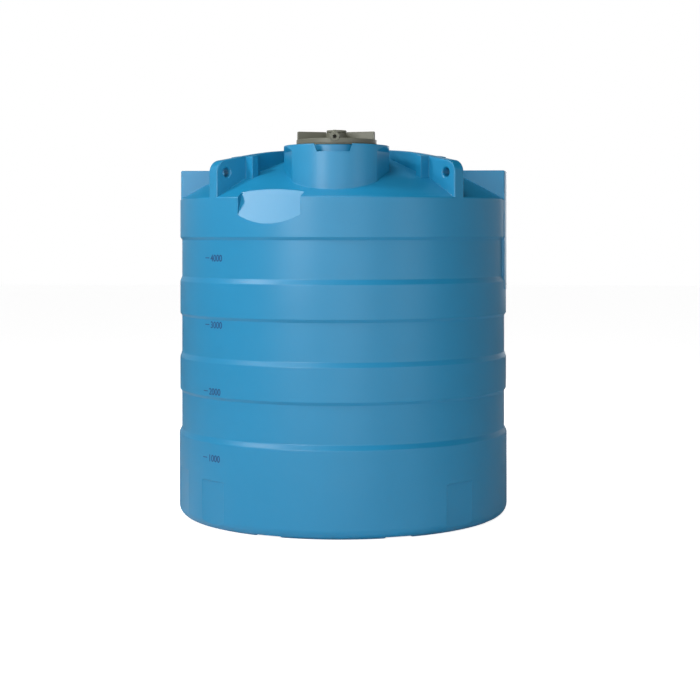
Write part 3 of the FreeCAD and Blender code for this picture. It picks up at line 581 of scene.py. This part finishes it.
def plastic(name, colour, rubbed, roughness, edge, pebble, wave, dust, tone=0.06, specular=0.5):
    """Moulded plastic: drifting tone, soft rubbed edges, pebbled grain and a little dust."""
    made = bpy.data.materials.new(name)
    made.use_nodes = True
    tree = made.node_tree
    shader = tree.nodes["Principled BSDF"]
    shader.inputs["Specular IOR Level"].default_value = specular
    soft = add_node(tree, "ShaderNodeBevel", {"Radius": edge}, samples=6).outputs[0]
    toned = place_group(tree, TONE, {"Colour": (*colour, 1), "Patch Size": 0.45, "Amount": tone})
    worn = place_group(tree, RUB, {"Colour": toned["Colour"], "Soft Normal": soft, "Rubbed": (*rubbed, 1),
                                   "Amount": 0.35})
    dusty = place_group(tree, DUST, {"Colour": worn["Colour"], "Roughness": roughness, "Amount": dust})
    grain = place_group(tree, GRAIN, {"Normal": soft, "Pebble Size": pebble[0], "Pebble Depth": pebble[1],
                                      "Wave Size": wave[0], "Wave Depth": wave[1]})
    tree.links.new(dusty["Colour"], shader.inputs["Base Color"])
    tree.links.new(dusty["Roughness"], shader.inputs["Roughness"])
    tree.links.new(grain["Normal"], shader.inputs["Normal"])
    return made


def lying(piece):
    """Turn an upright piece so that its axis points along +X."""
    piece.data.transform(Matrix.Rotation(radians(90), 4, "Y"))
    return piece


def riding(piece, name, body, nodes, material, angle=32.0):
    """Name a finished piece, shade it and set it on its body in place of its nodes."""
    piece.name = name
    dressed(piece, material)
    smoothed(piece, angle)
    if nodes:
        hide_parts(*nodes)
    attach(piece, body)
    return piece


OUTLET_AZIMUTH = 135
OUTLET_Z = 0.105
OUTLET_HOLE_R = 0.0305

bore = [(0, 0.90, 0), (OUTLET_HOLE_R, 0.90, 0), (OUTLET_HOLE_R, 0.97, 0), (0, 0.97, 0)]
outlet_hole = turned("outlet_hole", bore, 48)
moved(lying(outlet_hole), OUTLET_AZIMUTH, (0, 0, OUTLET_Z))
tank = tank_body(0.0, 256)
tank = combined(tank, [tank_body(WALL, 128), outlet_hole] + neck_reliefs(), "DIFFERENCE")
tank_blue = plastic("tank_blue", (0.003, 0.198, 0.385), (0.04, 0.29, 0.52), 0.42, 0.004,
                    (0.0045, 0.00012), (0.32, 0.0030), 0.01, specular=0.6)
riding(tank, "tank_skin", "tank", ["tank_shell"], tank_blue, angle=17)


# Level marks
# Four short bars with plain numbers of litres up the front left of the wall, a shade darker than it.
# They are hot stamped into the plastic after moulding, so they lie almost flush.

LEVELS = (("1000", 0.393, BASE_R), ("2000", 0.756, BAND_R),
          ("3000", 1.119, RECESS_R), ("4000", 1.484, RECESS_R))
MARK_AZIMUTH = -45
MARK_HEIGHT = 0.036
MARK_LIFT = 0.0004


def level_mark(words, level, radius):
    """A bar and a number, wrapped on the wall at one level."""
    curve = bpy.data.curves.new("words", "FONT")
    curve.body = words
    curve.size = MARK_HEIGHT / 0.70
    curve.extrude = 0.5
    curve.offset = 0.0011
    holder = bpy.data.objects.new("words", curve)
    bpy.context.scene.collection.objects.link(holder)
    graph = bpy.context.evaluated_depsgraph_get()
    mark = bmesh.new()
    mark.from_mesh(bpy.data.meshes.new_from_object(holder.evaluated_get(graph)))
    bpy.data.objects.remove(holder)
    bar = bmesh.ops.create_cube(mark, size=1.0)["verts"]
    bmesh.ops.scale(mark, verts=bar, vec=(0.040, 0.0055, 1.0))
    bmesh.ops.translate(mark, verts=bar, vec=(-0.032, MARK_HEIGHT / 2, 0))
    for vert in mark.verts:
        turn = radians(MARK_AZIMUTH) + (vert.co.x - 0.035) / radius
        reach = radius + (MARK_LIFT if vert.co.z > 0 else -0.002)
        vert.co = (sin(turn) * reach, -cos(turn) * reach, level + vert.co.y - MARK_HEIGHT / 2)
    return mark


marks_shape = bmesh.new()
for words, level, radius in LEVELS:
    mark = level_mark(words, level, radius)
    lone = bpy.data.meshes.new("mark")
    mark.to_mesh(lone)
    mark.free()
    marks_shape.from_mesh(lone)
marks = new_piece("level_marks", marks_shape)
mark_blue = plastic("mark_blue", (0.006, 0.055, 0.165), (0.02, 0.16, 0.36), 0.45, 0.0003,
                    (0.0030, 0.00008), (0.32, 0.0010), 0.02)
riding(marks, "level_marks", "tank", [], mark_blue)


# Neck ring
# The threaded ring that the lid screws on to, moulded in the lid's plastic, with a flat rubber gasket
# under its flange and twelve slotted stainless screws down into the inner neck.

RING_TOP = RIM_TOP + 0.007
SCREW_CIRCLE = 0.213
SCREW_LENGTH = 0.028
SCREW_R = 0.0025


def carried(node, material):
    """Give a CAD node that is kept as it is its finish."""
    dressed(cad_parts[node], material)


def tarnish_group():
    """Patches where bare metal has dulled and lost its polish."""
    inputs = [("Colour", "Color", None), ("Tarnish", "Color", None), ("Roughness", "Float", 0.3)]
    inputs += [("Patch Size", "Float", 0.018)]
    outputs = [("Colour", "Color"), ("Roughness", "Float")]
    tree, given, result = shader_group("tarnish", inputs, outputs)
    place = add_node(tree, "ShaderNodeTexCoord").outputs["Object"]
    scale = add_node(tree, "ShaderNodeMath", {0: 1.0, 1: given["Patch Size"]}, operation="DIVIDE")
    noise = add_node(tree, "ShaderNodeTexNoise", {"Vector": place, "Scale": scale.outputs[0], "Detail": 5.0})
    cover = add_node(tree, "ShaderNodeMapRange", {0: noise.outputs[0], 1: 0.4, 2: 0.75})
    tinted = add_node(tree, "ShaderNodeMix", {0: cover.outputs[0]}, data_type="RGBA")
    tree.links.new(given["Colour"], tinted.inputs["A"])
    tree.links.new(given["Tarnish"], tinted.inputs["B"])
    bright = add_node(tree, "ShaderNodeMath", {0: given["Roughness"], 1: 0.75}, operation="MULTIPLY")
    dull = add_node(tree, "ShaderNodeMath", {0: given["Roughness"], 1: 1.3}, operation="MULTIPLY")
    rough = add_node(tree, "ShaderNodeMapRange",
                     {0: noise.outputs[0], 3: bright.outputs[0], 4: dull.outputs[0]})
    tree.links.new(tinted.outputs["Result"], result["Colour"])
    tree.links.new(rough.outputs[0], result["Roughness"])
    return tree


TARNISH = tarnish_group()


def metal(name, colour, tarnish, roughness, grain_size, grain_depth, edge=0.0006):
    """Bare metal: drifting tarnish, softened edges and a cast, drawn or polished grain."""
    made = bpy.data.materials.new(name)
    made.use_nodes = True
    tree = made.node_tree
    shader = tree.nodes["Principled BSDF"]
    shader.inputs["Metallic"].default_value = 1.0
    aged = place_group(tree, TARNISH, {"Colour": (*colour, 1), "Tarnish": (*tarnish, 1),
                                       "Roughness": roughness})
    soft = add_node(tree, "ShaderNodeBevel", {"Radius": edge}, samples=6).outputs[0]
    grain = place_group(tree, GRAIN, {"Normal": soft, "Pebble Size": grain_size, "Pebble Depth": grain_depth,
                                      "Wave Size": 0.03, "Wave Depth": 0.00004})
    tree.links.new(aged["Colour"], shader.inputs["Base Color"])
    tree.links.new(aged["Roughness"], shader.inputs["Roughness"])
    tree.links.new(grain["Normal"], shader.inputs["Normal"])
    return made


lid_olive = plastic("lid_olive", (0.118, 0.121, 0.090), (0.24, 0.24, 0.19), 0.45, 0.0016,
                    (0.0016, 0.00006), (0.08, 0.0003), 0.16, tone=0.10)
rubber_black = plastic("rubber_black", (0.016, 0.016, 0.017), (0.05, 0.05, 0.05), 0.75, 0.0005,
                       (0.0012, 0.00005), (0.05, 0.0001), 0.10, specular=0.3)
stainless = metal("stainless", (0.56, 0.56, 0.57), (0.42, 0.41, 0.40), 0.30, 0.0008, 0.00001)

shank = [(0, RING_TOP - SCREW_LENGTH, 0), (SCREW_R, RING_TOP - SCREW_LENGTH, 0.0006)]
shank += [(SCREW_R, RING_TOP - 0.003, 0)]
head = [(0.0052, RING_TOP - 0.0002, 0), (0.0046, RING_TOP, 0), (0, RING_TOP, 0)]
screw = turned("screw", shank + head, 32)
driver_slot = box("driver_slot", (-0.006, -0.0006, RING_TOP - 0.0012), (0.006, 0.0006, RING_TOP + 0.001))
combined(screw, [driver_slot], "DIFFERENCE")
moved(screw, None, (SCREW_CIRCLE, 0, 0))
screws = ringed(screw, 12, 105.0, NECK, stainless)
riding(screws, "ring_screws", "tank", ["neck_ring_screws"], stainless)
carried("neck_ring", lid_olive)
carried("neck_ring_gasket", rubber_black)


# Lid gasket
# The flat rubber ring that the lid presses on the rim of the neck ring, pushed up into the lid's seat.

LID_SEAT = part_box("lid_gasket")[1].z
GASKET_R = (0.191, 0.203)
GASKET_LOW = LID_SEAT - 0.003
section = [(GASKET_R[0], LID_SEAT, 0.0004), (GASKET_R[1], LID_SEAT, 0.0004)]
section += [(GASKET_R[1], GASKET_LOW, 0.0008), (GASKET_R[0], GASKET_LOW, 0.0008)]
seal = turned("seal", section, 160, NECK)
riding(seal, "lid_seal", "lid_seal", ["lid_gasket"], rubber_black)


# Screw lid
# One olive moulding: a threaded skirt, a shallow cone, five radial ribs to turn it by, a hub for the vent
# and a round boss with a blind hole on the front rib for a lock pin.

LID_R = 0.220
LID_TURN = 1.2
SKIRT_LOW = 2.1045
SKIRT_BORE = 0.212
LID_SHOULDER = 2.129
LID_CROWN = 2.140
LID_SKIN = 0.005
RIB_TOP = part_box("screw_lid")[1].z
RIB_START = 0.030
RIB_HALF = 0.010
HUB_R = 0.062
HUB_TOP = 2.166
VENT_WAY_R = 0.0205
BOSS_Z = 2.136
BOSS_R = 0.026
BOSS_ENDS = (0.157, 0.222)
PIN_WAY_R = 0.0105
PIN_WAY_DEPTH = 0.055
SPIGOT_R = (0.179, 0.184)


def lid_ribs():
    """Five radial ribs with rounded upper edges."""
    reach = LID_R - 0.0005
    crest = corner_line([(reach, LID_SHOULDER, 0), (reach, RIB_TOP, 0.004), (RIB_START, RIB_TOP, 0)])[1:]
    face = [(RIB_START, LID_SHOULDER - LID_SKIN), (reach, LID_SHOULDER - LID_SKIN)]
    face += [(point.x, point.y) for point in crest]

    def upper(edge):
        first, second = edge.verts[0].co, edge.verts[1].co
        return min(first.z, second.z) > LID_SHOULDER + 0.02 and abs(first.y - second.y) < 1e-5
    return ringed(prism("rib", face, -RIB_HALF, RIB_HALF, "y", 0.002, upper), 5, LID_TURN)


def lid_boss(radius, start, end, rounding, steps):
    """Round bar along the front rib, for the boss or for the hole in it."""
    line = [(0, start, 0), (radius, start, 0), (radius, end, rounding), (0, end, 0)]
    return moved(lying(turned("boss", line, steps)), LID_TURN, (0, 0, BOSS_Z))


def lid_hollows():
    """What is cut away: the space over the hub, the skirt's bore, the underside, vent and pin holes."""
    clear = [(0, HUB_TOP, 0), (HUB_R + 0.001, HUB_TOP, 0), (HUB_R + 0.001, 2.2, 0), (0, 2.2, 0)]
    skirt = [(0, SKIRT_LOW - 0.02, 0), (SKIRT_BORE, SKIRT_LOW - 0.02, 0), (SKIRT_BORE, LID_SEAT, 0.0015)]
    skirt += [(0, LID_SEAT, 0)]
    under = [(0, LID_SEAT - 0.009, 0), (SPIGOT_R[0], LID_SEAT - 0.009, 0)]
    under += [(SPIGOT_R[0], LID_SHOULDER - LID_SKIN, 0), (HUB_R, LID_CROWN - LID_SKIN, 0)]
    under += [(0, LID_CROWN - LID_SKIN, 0)]
    vent = [(0, 2.1, 0), (VENT_WAY_R, 2.1, 0), (VENT_WAY_R, 2.2, 0), (0, 2.2, 0)]
    hollows = [turned("clear", clear, 96), turned("skirt", skirt, 192), turned("under", under, 128)]
    hollows += [turned("vent_way", vent, 64)]
    return hollows + [lid_boss(PIN_WAY_R, BOSS_ENDS[1] - PIN_WAY_DEPTH, 0.24, 0, 48)]


def lid_cover():
    """The lid with its ribs, hub, boss, spigot and hollow underside, before the thread."""
    cone = [(0, SKIRT_LOW, 0), (LID_R, SKIRT_LOW, 0.0012), (LID_R, LID_SHOULDER, 0.0025)]
    cone += [(HUB_R, LID_CROWN, 0), (0, LID_CROWN, 0)]
    cover = turned("cover", cone, 192)
    post = [(0, LID_SHOULDER, 0), (HUB_R, LID_SHOULDER, 0), (HUB_R, HUB_TOP, 0.002), (0, HUB_TOP, 0)]
    boss = lid_boss(BOSS_R, *BOSS_ENDS, 0.0025, 64)
    combined(cover, [lid_ribs(), turned("hub", post, 96), boss], "UNION")
    combined(cover, lid_hollows(), "DIFFERENCE")
    inner, outer = SPIGOT_R
    wall = [(inner, LID_SEAT - 0.016, 0.001), (outer, LID_SEAT - 0.016, 0.001)]
    wall += [(outer, LID_SEAT + 0.001, 0), (inner, LID_SEAT + 0.001, 0)]
    return combined(cover, [turned("spigot", wall, 160)], "UNION")


def thread(radius, depth, low, pitch=0.008, turns=1.15, start=100.0, steps=96):
    """Helical ridge on a cylinder, outward for a positive depth and inward for a negative one."""
    root, crest = radius - (0.001 if depth > 0 else -0.001), radius + depth
    profile = [(root, -0.0017), (radius, -0.0017), (crest, -0.0008)]
    profile += [(crest, 0.0008), (radius, 0.0017), (root, 0.0017)]
    shape = bmesh.new()
    loops = []
    count = ceil(steps * turns)
    for step in range(count + 1):
        share = step / count
        turn = radians(start) + 2 * pi * turns * share
        rise = low + pitch * turns * share
        loops.append([shape.verts.new((r * cos(turn), r * sin(turn), rise + z)) for r, z in profile])
    for lower, upper in zip(loops, loops[1:]):
        for index in range(len(profile)):
            after = (index + 1) % len(profile)
            shape.faces.new((lower[index], lower[after], upper[after], upper[index]))
    shape.faces.new(loops[0])
    shape.faces.new(loops[-1])
    return new_piece("thread", shape)


lid = lid_cover()
combined(lid, [thread(SKIRT_BORE, -0.005, SKIRT_LOW + 0.0057)], "UNION")
moved(lid, None, NECK)
riding(lid, "lid_cover", "lid", ["screw_lid"], lid_olive)


# Vent
# A black tube through the lid's hub, held from below by a washer and a nut, with six side windows, a steel
# insect screen and a push-on olive cap that keeps rain out.

CAP_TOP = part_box("vent_cap")[1].z
CAP_LOW = CAP_TOP - 0.0135
CAP_R = 0.055
CAP_SKIN = 0.003
dish = [(0, CAP_TOP, 0), (CAP_R, CAP_TOP, 0.0035), (CAP_R, CAP_LOW, 0.0008)]
dish += [(CAP_R - CAP_SKIN, CAP_LOW, 0.0008), (CAP_R - CAP_SKIN, CAP_TOP - CAP_SKIN, 0.001)]
dish += [(0, CAP_TOP - CAP_SKIN, 0)]
vent_cap = turned("vent_cap", dish, 96, NECK)
riding(vent_cap, "vent_cover", "lid", ["vent_cap"], lid_olive)
fitting_black = plastic("fitting_black", (0.020, 0.020, 0.022), (0.09, 0.09, 0.09), 0.42, 0.0008,
                        (0.0011, 0.00004), (0.05, 0.0001), 0.22)
carried("vent_tube", fitting_black)
carried("vent_nut", fitting_black)
carried("vent_washer", rubber_black)
carried("vent_screen", stainless)


# Outlet
# A black polypropylene tank connector near the foot of the wall at the back right: a flanged head inside,
# a rubber seal on each face of the wall and a six-sided nut outside.

for node in ("outlet_bulkhead", "outlet_nut"):
    carried(node, fitting_black)
for node in ("outlet_seal_inner", "outlet_seal_outer"):
    carried(node, rubber_black)


# Ball valve
# A brass valve screwed on the outlet: cast body and end cap, white seats, a plated ball on a sealed stem
# and a steel quarter-turn lever with a dipped red grip.

brass = metal("brass", (0.62, 0.45, 0.19), (0.40, 0.28, 0.13), 0.36, 0.0012, 0.00005)
ball_chrome = metal("ball_chrome", (0.72, 0.72, 0.73), (0.64, 0.64, 0.66), 0.08, 0.0010, 0.000002,
                    edge=0.0003)
seat_white = plastic("seat_white", (0.80, 0.79, 0.76), (0.88, 0.88, 0.86), 0.35, 0.0004,
                     (0.0010, 0.00001), (0.03, 0.00005), 0.05)
grip_red = plastic("grip_red", (0.42, 0.018, 0.014), (0.55, 0.10, 0.08), 0.28, 0.0010,
                   (0.0020, 0.00003), (0.02, 0.0001), 0.25)
for node in ("valve_body", "valve_end_cap", "valve_stem", "gland_nut"):
    carried(node, brass)
for node in ("valve_end_seal", "valve_seats"):
    carried(node, seat_white)
for node in ("valve_lever", "lever_nut"):
    carried(node, stainless)
carried("stem_seals", rubber_black)
carried("valve_ball", ball_chrome)
carried("lever_grip", grip_red)


# Floor, light and camera
# A plain pale floor, soft rectangular lights round the tank, a dim sky over a pale horizon, and the camera
# at the height of a person's eyes.

floor_shape = bmesh.new()
bmesh.ops.create_grid(floor_shape, x_segments=2, y_segments=2, size=40)
floor = new_piece("floor", floor_shape)
floor_paint = bpy.data.materials.new("floor_paint")
floor_paint.use_nodes = True
paint = floor_paint.node_tree.nodes["Principled BSDF"]
paint.inputs["Base Color"].default_value = (0.85, 0.85, 0.85, 1)
paint.inputs["Roughness"].default_value = 0.9
paint.inputs["Emission Color"].default_value = (1, 1, 1, 1)
shown = add_node(floor_paint.node_tree, "ShaderNodeLightPath").outputs["Is Camera Ray"]
glow = add_node(floor_paint.node_tree, "ShaderNodeMath", {0: shown, 1: 0.9}, operation="MULTIPLY")
floor_paint.node_tree.links.new(glow.outputs[0], paint.inputs["Emission Strength"])
floor.data.materials.append(floor_paint)


def area_light(name, azimuth, elevation, distance, size, watts, aim=(0, 0, 1.1)):
    """Soft rectangular light at an azimuth and elevation round the tank, aimed at it."""
    lamp = bpy.data.lights.new(name, "AREA")
    lamp.shape = "RECTANGLE"
    lamp.size, lamp.size_y = size
    lamp.energy = watts
    light = bpy.data.objects.new(name, lamp)
    turn, rise = radians(azimuth), radians(elevation)
    offset = Vector((sin(turn) * cos(rise), -cos(turn) * cos(rise), sin(rise))) * distance
    light.location = Vector(aim) + offset
    light.rotation_euler = (-offset).to_track_quat("-Z", "Y").to_euler()
    bpy.context.scene.collection.objects.link(light)
    return light


area_light("key", -64, 38, 7.0, (1.2, 1.2), 240)
area_light("strip", -26, 14, 7.0, (1.5, 1.5), 145)
area_light("front", 8, 5, 8.0, (4.0, 3.0), 90)
area_light("front_right", 45, 6, 8.0, (3.0, 3.0), 60)
area_light("overhead", -15, 66, 5.5, (2.4, 2.4), 100)
area_light("rear", 165, 10, 8.0, (4.0, 3.0), 100)

world = bpy.data.worlds.new("studio")
world.use_nodes = True
bpy.context.scene.world = world
sky = world.node_tree
way = add_node(sky, "ShaderNodeTexCoord").outputs["Generated"]
height = add_node(sky, "ShaderNodeSeparateXYZ", {0: way}).outputs["Z"]
walls = add_node(sky, "ShaderNodeMapRange", {0: height, 1: 0.15, 2: 0.45, 3: 0.62, 4: 0.02},
                 interpolation_type="SMOOTHSTEP")
seen = sky.nodes.new("ShaderNodeLightPath").outputs["Is Camera Ray"]
blend = add_node(sky, "ShaderNodeMix", {0: seen, 2: walls.outputs[0], 3: 1.0})
sky.links.new(blend.outputs[0], sky.nodes["Background"].inputs["Strength"])
sky.nodes["Background"].inputs["Color"].default_value = (1, 1, 1, 1)
bpy.context.scene.view_settings.view_transform = "Standard"

camera_turn = radians(2.6)
across = Vector((cos(camera_turn), sin(camera_turn), 0))
lens = bpy.data.cameras.new("camera")
lens.lens = 78.8
lens.shift_x, lens.shift_y = -0.0304, -0.1644
camera = bpy.data.objects.new("camera", lens)
camera.location = Vector((sin(camera_turn), -cos(camera_turn), 0)) * 8.994 + across * 0.163
camera.location.z = 1.610
camera.rotation_euler = (radians(90), 0, camera_turn)
bpy.context.scene.collection.objects.link(camera)
bpy.context.scene.camera = camera
